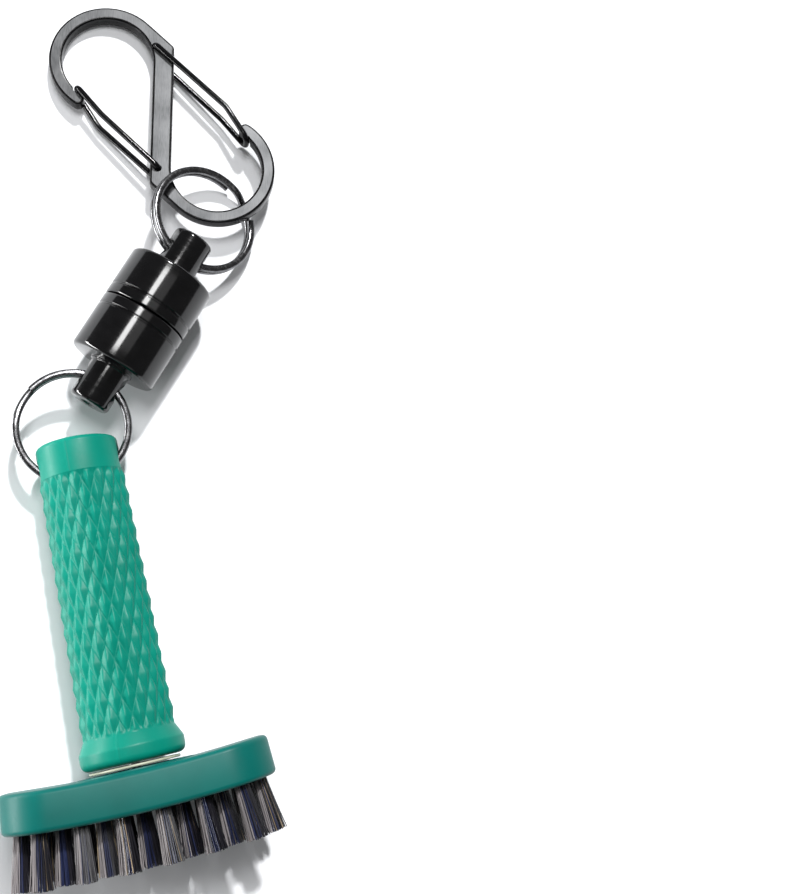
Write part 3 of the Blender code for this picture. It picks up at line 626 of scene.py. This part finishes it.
def handle_rows():
    """Rows of (radius, height, knurl share, seam share) up the handle and down its bore."""
    base = HANDLE_BASE
    top = HANDLE_TOP
    grip_low = base + FLANGE_HEIGHT
    grip_high = top - COLLAR_LENGTH
    low_part = [
        (BORE_RADIUS, base, 0.0),
        (FLANGE_RADIUS, base, FLANGE_ROUND),
        (FLANGE_RADIUS + 0.05 * MM, base + FLANGE_WIDEST, 1.1 * MM),
        (GRIP_RADIUS_LOW + 0.15 * MM, grip_low - 0.25 * MM, 0.5 * MM),
        (GRIP_RADIUS_LOW, grip_low, 0.0),
    ]
    high_part = [
        (GRIP_RADIUS_HIGH, grip_high, 0.0),
        (COLLAR_RADIUS + 0.1 * MM, grip_high + 0.1 * MM, 0.1 * MM),
        (COLLAR_RADIUS, top, 1.1 * MM),
        (0.0, top, 0.0),
    ]
    rows = [(point.x, point.y, 0.0, 1.0) for point in filleted(low_part, 7)]
    count = round((grip_high - grip_low) / KNURL_ROW)
    for i in range(1, count):
        height = grip_low + (grip_high - grip_low) * i / count
        radius = GRIP_RADIUS_LOW + (GRIP_RADIUS_HIGH - GRIP_RADIUS_LOW) * i / count
        edge = min(height - grip_low, grip_high - height) / KNURL_FADE
        rows.append((radius, height, min(1.0, edge), 0.0))
    rows += [(point.x, point.y, 0.0, 1.0) for point in filleted(high_part, 7)]
    inside = [(0.0, top - END_WALL), (BORE_RADIUS, top - END_WALL)]
    return rows + [(radius, height, 0.0, 0.0) for radius, height in inside]


def make_handle(matrix, teal):
    shape = bmesh.new()
    rings = []
    for radius, height, knurl, seam in handle_rows():
        if radius <= 0.0:
            rings.append([shape.verts.new((0.0, 0.0, height))])
            continue
        ring = []
        for i in range(HANDLE_SEGMENTS):
            angle = 2.0 * math.pi * i / HANDLE_SEGMENTS
            reach = radius
            if knurl > 0.0:
                reach += knurl * KNURL_RELIEF * (knurl_height(angle, height) - 0.55)
            if seam > 0.0 and radius > BORE_RADIUS:
                away = min(abs(math.remainder(angle - at, 2.0 * math.pi)) for at in SEAM_ANGLES)
                reach += SEAM_HEIGHT * max(0.0, 1.0 - away * radius / (0.22 * MM))
            ring.append(shape.verts.new((reach * math.cos(angle), reach * math.sin(angle), height)))
        rings.append(ring)
    skin(shape, rings)
    handle = add_object("knurled_handle", finish_mesh("knurled_handle", shape, 50.0), matrix, [teal])
    hole = bmesh.new()
    hole_at = (0.0, 0.0, HANDLE_TOP - RING_HOLE_BELOW_END)
    cylinder_shape(hole, RING_HOLE_RADIUS, 24.0 * MM, hole_at, (1, 0, 0))
    boolean(handle, hole)
    place(handle, "brush", "teal_plastic", "handle_grip")


def make_spacer(matrix, material):
    low = HEAD_HEIGHT + PAD_HEIGHT + TOUCH_GAP
    high = low + SPACER_HEIGHT
    edge = 0.2 * MM
    outer = SPACER_RADIUS
    profile = [(SCREW_HOLE_RADIUS, low)]
    profile += arc((outer - edge, low + edge), edge, -math.pi / 2.0, 0.0, 4)
    profile += arc((outer - edge, high - edge), edge, 0.0, math.pi / 2.0, 4)
    profile += [(SCREW_HOLE_RADIUS, high)]
    spacer = add_object("neck_disc", turned_mesh("neck_disc", profile), matrix, [material])
    place(spacer, "brush", "spacer_plastic", "neck_spacer")


# --- rings and coupler ---------------------------------------------------------------------------


def make_ring(name, matrix, body, node, jog_at, material):
    """Two turns of slightly flattened wire; the matrix stands at the ring's centre, its plane is XZ."""
    start = RING_JOG / 2.0 + RING_END_CLEARANCE
    end = 4.0 * math.pi - start
    steps = 300
    points = []
    frames = []
    for i in range(steps + 1):
        turned = start + (end - start) * i / steps
        share = min(1.0, max(0.0, (turned - 2.0 * math.pi) / RING_JOG + 0.5))
        layer = RING_LAYER_OFFSET * math.cos(math.pi * share)
        angle = turned + jog_at
        outward = Vector((math.cos(angle), 0.0, math.sin(angle)))
        points.append(outward * RING_MEAN_RADIUS + Vector((0.0, layer, 0.0)))
        frames.append((outward, Vector((0.0, 1.0, 0.0))))
    section = []
    for i in range(20):
        angle = 2.0 * math.pi * i / 20.0
        x = math.copysign(abs(math.cos(angle)) ** 0.75, math.cos(angle))
        y = math.copysign(abs(math.sin(angle)) ** 0.75, math.sin(angle))
        section.append((x * RING_WIRE_WIDTH / 2.0, y * RING_WIRE_HEIGHT / 2.0))
    shape = bmesh.new()
    sweep(shape, points, frames, section)
    ring = add_object(name, finish_mesh(name, shape, 50.0), matrix, [material])
    place(ring, body, "dark_steel", node)


def stem_corners(shoulder, way):
    """A stem from its tip to the shoulder it stands on; way is +1 for upwards."""
    tip = shoulder + way * STEM_LENGTH
    ridge = STEM_RADIUS + 0.35 * MM
    return [
        (0.0, tip - way * 0.4 * MM, 0.0),
        (1.3 * MM, tip - way * 0.35 * MM, 0.2 * MM),
        (1.8 * MM, tip, 0.3 * MM),
        (STEM_RADIUS, tip, 0.8 * MM),
        (STEM_RADIUS, shoulder + way * 0.6 * MM, 0.15 * MM),
        (ridge, shoulder + way * 0.4 * MM, 0.1 * MM),
        (ridge, shoulder, 0.1 * MM),
        (COUPLER_RADIUS, shoulder, 0.75 * MM),
    ]


def groove_corners(height, way):
    deep = COUPLER_RADIUS - 0.25 * MM
    return [
        (COUPLER_RADIUS, height + way * 0.32 * MM, 0.08 * MM),
        (deep, height + way * 0.12 * MM, 0.05 * MM),
        (deep, height - way * 0.12 * MM, 0.05 * MM),
        (COUPLER_RADIUS, height - way * 0.32 * MM, 0.08 * MM),
    ]


def make_coupler_half(name, corners, matrix, body, node, material):
    shell = add_object(name, turned_mesh(name, filleted(corners), 144), matrix, [material])
    hole = bmesh.new()
    cylinder_shape(hole, STEM_HOLE_RADIUS, 14.0 * MM, (0.0, 0.0, 0.0), (1, 0, 0))
    boolean(shell, hole)
    place(shell, body, "black_anodised", node)


def make_coupler(lower_matrix, upper_matrix, material):
    face = JOINT_Z - TOUCH_GAP / 2.0
    floor = face - CAVITY_DEPTH
    lower = stem_corners(STEM_HOLE_HEIGHT, -1.0)
    lower += groove_corners(UPPER_SHOULDER - GROOVE_FROM_TOP[1], -1.0)
    lower += [
        (COUPLER_RADIUS, face, 0.3 * MM),
        (SOCKET_RADIUS, face, 0.15 * MM),
        (SOCKET_RADIUS, floor, 0.2 * MM),
        (0.0, floor, 0.0),
    ]
    make_coupler_half("lower_coupler", lower, lower_matrix, "coupler_lower", "coupler_lower_shell", material)

    face = JOINT_Z + TOUCH_GAP / 2.0
    nose = face - SPIGOT_HEIGHT
    ceiling = nose + CAVITY_DEPTH
    upper = stem_corners(UPPER_SHOULDER, 1.0)
    upper += groove_corners(UPPER_SHOULDER - GROOVE_FROM_TOP[0], 1.0)
    upper += [
        (COUPLER_RADIUS, face, 0.3 * MM),
        (SPIGOT_RADIUS, face, 0.1 * MM),
        (SPIGOT_RADIUS, nose, 0.3 * MM),
        (SPIGOT_BORE, nose, 0.1 * MM),
        (SPIGOT_BORE, ceiling, 0.2 * MM),
        (0.0, ceiling, 0.0),
    ]
    upper = [(radius, height - UPPER_HOLE_Z, fillet) for radius, height, fillet in upper]
    make_coupler_half("upper_coupler", upper, upper_matrix, "coupler_upper", "coupler_upper_shell", material)


# --- carabiner -----------------------------------------------------------------------------------


def carabiner_outline():
    """Closed outline of the S; one half is the other's half turn."""
    loop = (LOOP_CENTRE.x, LOOP_CENTRE.y)
    other = (-LOOP_CENTRE.x, -LOOP_CENTRE.y)
    nose_radius = (LOOP_OUTER_RADIUS - LOOP_INNER_RADIUS) / 2.0
    nose_middle = LOOP_INNER_RADIUS + nose_radius
    nose = (loop[0] + nose_middle * math.cos(NOSE_ANGLE), loop[1] + nose_middle * math.sin(NOSE_ANGLE))
    half = arc(nose, nose_radius, NOSE_ANGLE + math.pi, NOSE_ANGLE, 14)[1:-1]
    half += arc(loop, LOOP_OUTER_RADIUS, NOSE_ANGLE, SHOULDER_ANGLE, 90)
    slope = Vector((math.cos(SHOULDER_ANGLE), math.sin(SHOULDER_ANGLE)))
    lobe_x = BAR_HALF_WIDTH - LOBE_RADIUS
    shoulder = Vector(loop) + slope * (LOOP_OUTER_RADIUS - LOBE_RADIUS)
    along = Vector((slope.y, -slope.x))
    run = (lobe_x - shoulder.x) / along.x
    lobe = (lobe_x, shoulder.y + along.y * run)
    half += arc(lobe, LOBE_RADIUS, SHOULDER_ANGLE, 0.0, 10)
    half += arc(other, LOOP_INNER_RADIUS, math.pi, NOSE_ANGLE + math.pi, 80)
    return half + [(-x, -y) for x, y in half]


def inset_outline(outline, distance):
    """Move each point of a closed clockwise outline inwards."""
    moved = []
    count = len(outline)
    for i in range(count):
        along = (Vector(outline[(i + 1) % count]) - Vector(outline[i - 1])).normalized()
        moved.append((outline[i][0] + along.y * distance, outline[i][1] - along.x * distance))
    return moved


def hook_place():
    """Where the gate's bend rests in the nose of loop two."""
    angle = HOOK_ANGLE + math.pi
    radius = LOOP_INNER_RADIUS - 0.35 * MM
    return Vector((radius * math.cos(angle), radius * math.sin(angle), 0.0)) - LOOP_CENTRE


def make_frame_plate(matrix, face, wall):
    outline = carabiner_outline()
    half = PLATE_THICKNESS / 2.0
    levels = []
    for i in range(5):
        angle = math.pi / 8.0 * i
        levels.append((half - PLATE_EDGE * (1.0 - math.cos(angle)), PLATE_EDGE * (1.0 - math.sin(angle))))
    shape = bmesh.new()
    rings = []
    for height, inset in [(-height, inset) for height, inset in levels] + list(reversed(levels)):
        rings.append([shape.verts.new((x, y, height)) for x, y in inset_outline(outline, inset)])
    for ring_a, ring_b in zip(rings, rings[1:]):
        bridge(shape, ring_a, ring_b, 1)
    shape.faces.new(rings[0]).material_index = 0
    shape.faces.new(rings[-1]).material_index = 0
    name = "carabiner_plate"
    plate = add_object(name, finish_mesh(name, shape, 20.0), matrix, [face, wall])
    cutter = bmesh.new()
    hook = hook_place()
    above = Vector((0.0, 0.0, 2.0 * MM))
    for at in (hook, -hook):
        cylinder_shape(cutter, GATE_WIRE_RADIUS + TOUCH_GAP, 8.0 * MM, at, (0, 0, 1), 32)
    for at in (OUTER_PIVOT + above, above - INNER_PIVOT):
        cylinder_shape(cutter, PIVOT_HOLE_RADIUS, 4.0 * MM, at, (0, 0, 1), 32)
    boolean(plate, cutter)
    for centre, start in ((OUTER_PIVOT, INNER_PIVOT), (-INNER_PIVOT, -OUTER_PIVOT)):
        boolean(plate, slot_shape(centre, start))
    for side in plate.data.polygons:
        lies_flat = abs(side.normal.z) > 0.999
        side.use_smooth = not lies_flat
    place(plate, "carabiner", "gunmetal", "carabiner_frame")


def slot_shape(centre, start):
    """A blind arc slot in the underside, for the wire end that travels as its gate turns."""
    reach = start - centre
    first = math.atan2(reach.y, reach.x)
    last = first - GATE_SWING
    half = PIVOT_HOLE_RADIUS
    end = (centre.x + reach.length * math.cos(last), centre.y + reach.length * math.sin(last))
    points = arc(centre, reach.length + half, first, last, 8)
    points += arc(end, half, last, last - math.pi, 10)[1:-1]
    points += arc(centre, reach.length - half, last, first, 8)
    points += arc(start, half, first - math.pi, first - 2.0 * math.pi, 10)[1:-1]
    shape = bmesh.new()
    low = [shape.verts.new((x, y, -PLATE_THICKNESS)) for x, y in points]
    high = [shape.verts.new((x, y, -0.2 * MM)) for x, y in points]
    bridge(shape, low, high)
    shape.faces.new(low)
    shape.faces.new(high)
    return shape


def gate_path():
    """One gate's wire: in at the outer pivot, over the plate, round the nose and back under it."""
    up = Vector((0.0, 0.0, GATE_LEG_Z))
    inside = Vector((0.0, 0.0, 0.4 * MM))
    hook = hook_place()
    corners = [
        OUTER_PIVOT + inside,
        OUTER_PIVOT + up,
        Vector((13.3 * MM, 2.1 * MM, GATE_LEG_Z)),
        hook + up,
        hook - up,
        Vector((12.5 * MM, 1.2 * MM, -GATE_LEG_Z)),
        INNER_PIVOT - up,
        INNER_PIVOT - inside,
    ]
    radii = (0.9 * MM, 6.0 * MM, 1.5 * MM, 1.5 * MM, 6.0 * MM, 0.9 * MM)
    return rounded_path(corners, radii, 9)


def make_gates(matrix, material):
    for name, side in (("gate_right", 1.0), ("gate_left", -1.0)):
        path = [point * side for point in gate_path()]
        shape = bmesh.new()
        sweep(shape, path, transported_frames(path), round_section(GATE_WIRE_RADIUS, 16))
        wire = add_object(name + "_wire", finish_mesh(name + "_wire", shape, 50.0), matrix, [material])
        place(wire, name, "black_wire", name)


# --- the whole object ----------------------------------------------------------------------------


def body_frames(joints):
    """The frame of each link of the chain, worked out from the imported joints."""
    up = Vector((0.0, 0.0, 1.0))
    handle = joints["lower_ring_swing"]
    x = Vector(handle["axis"])
    z = up.cross(x) * math.cos(BRUSH_LEAN) - up * math.sin(BRUSH_LEAN)
    at_handle = Vector(handle["pos_m"])
    brush = frame_matrix(at_handle - z * (HANDLE_TOP - RING_HOLE_BELOW_END), x, z)

    stem = joints["coupler_swing"]
    at_stem = Vector(stem["pos_m"])
    reach = at_stem - at_handle
    ring_z = (reach - x * reach.dot(x)).normalized()
    lower_ring = frame_matrix(at_handle + ring_z * RING_OFFSET_AT_HANDLE, x, ring_z)

    along = Vector(joints["magnet_release"]["axis"])
    lower = frame_matrix(at_stem, -Vector(stem["axis"]), along)
    upper_stem = joints["upper_ring_swing"]
    at_upper = Vector(upper_stem["pos_m"])
    upper = frame_matrix(at_upper, upper_stem["axis"], along)
    ring_middle = Vector(joints["carabiner_swing"]["pos_m"])
    upper_ring = frame_matrix(ring_middle, upper_stem["axis"], ring_middle - at_upper)

    z = -Vector(joints["gate_right_turn"]["axis"])
    right = Vector(joints["gate_right_turn"]["pos_m"])
    span = right - Vector(joints["gate_left_turn"]["pos_m"])
    local_span = OUTER_PIVOT + INNER_PIVOT
    turn = Matrix.Rotation(-math.atan2(local_span.y, local_span.x), 3, z)
    carabiner = frame_matrix((0.0, 0.0, 0.0), turn @ span, z)
    carabiner.translation = right - carabiner.to_3x3() @ OUTER_PIVOT
    return brush, lower_ring, lower, upper, upper_ring, carabiner


def finish_hidden_nodes(nodes, teal):
    """The screw, its washer, the plug, the magnets and their discs keep their CAD shape."""
    zinc = plated("zinc_plate", (0.42, 0.43, 0.45), (0.6, 0.61, 0.63), 0.28)
    nickel = plated("nickel_plate", (0.55, 0.54, 0.52), (0.7, 0.69, 0.67), 0.12)
    looks = {
        "head_screw": zinc,
        "screw_washer": zinc,
        "lower_backing_disc": zinc,
        "upper_backing_disc": zinc,
        "lower_magnet": nickel,
        "upper_magnet": nickel,
        "handle_plug": teal,
    }
    for name, material in looks.items():
        for slot in nodes[name].material_slots:
            slot.material = material


def make_object(frame):
    joints = {joint["name"]: joint for joint in frame["joints"]}
    brush, lower_ring, lower, upper, upper_ring, carabiner = body_frames(joints)
    teal = teal_plastic("handle_teal", (0.0, 0.15, 0.106), (0.0, 0.18, 0.13))
    # The head takes a darker copy of the handle's teal: the darkening is painted shade, not a different
    # plastic.
    painted_shade_teal = teal_plastic("head_teal_painted_shade", (0.0, 0.072, 0.062), (0.0, 0.09, 0.078))
    steel = dark_steel()
    black = black_anodised()
    make_head(brush, painted_shade_teal)
    make_handle(brush, teal)
    make_spacer(brush, spacer_plastic())
    make_bristles(brush, strand_materials())
    make_ring("lower_ring_wire", lower_ring, "lower_ring", "lower_split_ring", LOWER_RING_JOG, steel)
    make_coupler(lower, upper, black)
    make_ring("upper_ring_wire", upper_ring, "upper_ring", "upper_split_ring", UPPER_RING_JOG, steel)
    make_frame_plate(carabiner, brushed_face(), black_polished("plate_wall", 0.22))
    make_gates(carabiner, black_polished("gate_wire", 0.1))
    finish_hidden_nodes(frame["nodes"], teal)


# --- stage ---------------------------------------------------------------------------------------


def make_floor():
    shape = bmesh.new()
    bmesh.ops.create_grid(shape, x_segments=8, y_segments=8, size=FLOOR_SIZE)
    floor = add_object("floor", finish_mesh("floor", shape), Matrix.Translation((0.0, 0.0, -0.05 * MM)))
    material, _, shader = plain_material("pale_floor", 0.9)
    shader.inputs["Base Color"].default_value = FLOOR_COLOUR
    shader.inputs["Specular IOR Level"].default_value = 0.0
    floor.data.materials.append(material)


def area_light(name, place_at, aim, size, radiance, along):
    """A rectangular lamp of a given radiance; its second side lies along a direction."""
    light = bpy.data.lights.new(name, "AREA")
    light.shape = "RECTANGLE"
    light.size, light.size_y = size
    light.energy = radiance * size[0] * size[1] * math.pi
    lamp = bpy.data.objects.new(name, light)
    bpy.context.scene.collection.objects.link(lamp)
    back = (Vector(place_at) - Vector(aim)).normalized()
    side = Vector(along).cross(back).normalized()
    matrix = Matrix((side, back.cross(side), back)).transposed().to_4x4()
    matrix.translation = Vector(place_at)
    lamp.matrix_world = matrix


def sun_light(name, towards, strength, angle):
    """Parallel light that comes from a direction."""
    light = bpy.data.lights.new(name, "SUN")
    light.energy = strength
    light.angle = angle
    lamp = bpy.data.objects.new(name, light)
    bpy.context.scene.collection.objects.link(lamp)
    lamp.matrix_world = towards.to_track_quat("Z", "Y").to_matrix().to_4x4()


def make_lights():
    """A sun for the shadows, two lamps mirrored by the coupler, a weak fill and a low lamp on the left."""
    up = (0.0, 0.0, 1.0)
    sun_light("key", TO_SUN, SUN_STRENGTH, SUN_ANGLE)
    area_light("stripe", (-0.026, 0.154, 0.50), COUPLER_MIDDLE, (0.11, 0.18), 22.0, COUPLER_AXIS)
    area_light("band", (0.135, 0.061, 0.50), COUPLER_MIDDLE, (0.20, 0.16), 0.8, COUPLER_AXIS)
    area_light("fill", (0.0, -0.55, 0.36), (0.0, 0.0, 0.0), (0.7, 0.25), 0.7, up)
    area_light("left", (-0.5, 0.0, 0.05), (0.0, -0.02, 0.01), (0.5, 0.08), 42.0, up)
    world = bpy.data.worlds.new("studio")
    world.use_nodes = True
    world.node_tree.nodes["Background"].inputs["Color"].default_value = (1.0, 1.0, 1.0, 1.0)
    world.node_tree.nodes["Background"].inputs["Strength"].default_value = SKY_STRENGTH
    bpy.context.scene.world = world
    bpy.context.scene.view_settings.view_transform = "Standard"


def make_camera():
    camera = bpy.data.cameras.new("camera")
    camera.sensor_fit = "HORIZONTAL"
    camera.sensor_width = 36.0
    camera.lens = CAMERA_LENS
    camera.clip_start = 0.01
    seat = bpy.data.objects.new("camera", camera)
    bpy.context.scene.collection.objects.link(seat)
    back = (CAMERA_PLACE - CAMERA_AIM).normalized()
    right = Vector((0.0, 1.0, 0.0)).cross(back).normalized()
    matrix = Matrix((right, back.cross(right), back)).transposed().to_4x4()
    matrix.translation = CAMERA_PLACE
    seat.matrix_world = matrix
    bpy.context.scene.camera = seat


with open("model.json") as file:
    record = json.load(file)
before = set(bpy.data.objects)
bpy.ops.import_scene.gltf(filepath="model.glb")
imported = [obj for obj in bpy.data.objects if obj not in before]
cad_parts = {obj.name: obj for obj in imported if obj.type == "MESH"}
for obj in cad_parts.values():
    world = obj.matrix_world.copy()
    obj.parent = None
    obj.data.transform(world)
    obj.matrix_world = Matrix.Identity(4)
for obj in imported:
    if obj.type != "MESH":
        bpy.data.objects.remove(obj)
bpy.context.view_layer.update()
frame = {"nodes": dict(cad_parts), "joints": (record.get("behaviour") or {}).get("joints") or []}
make_object(frame)
make_floor()
make_lights()
make_camera()
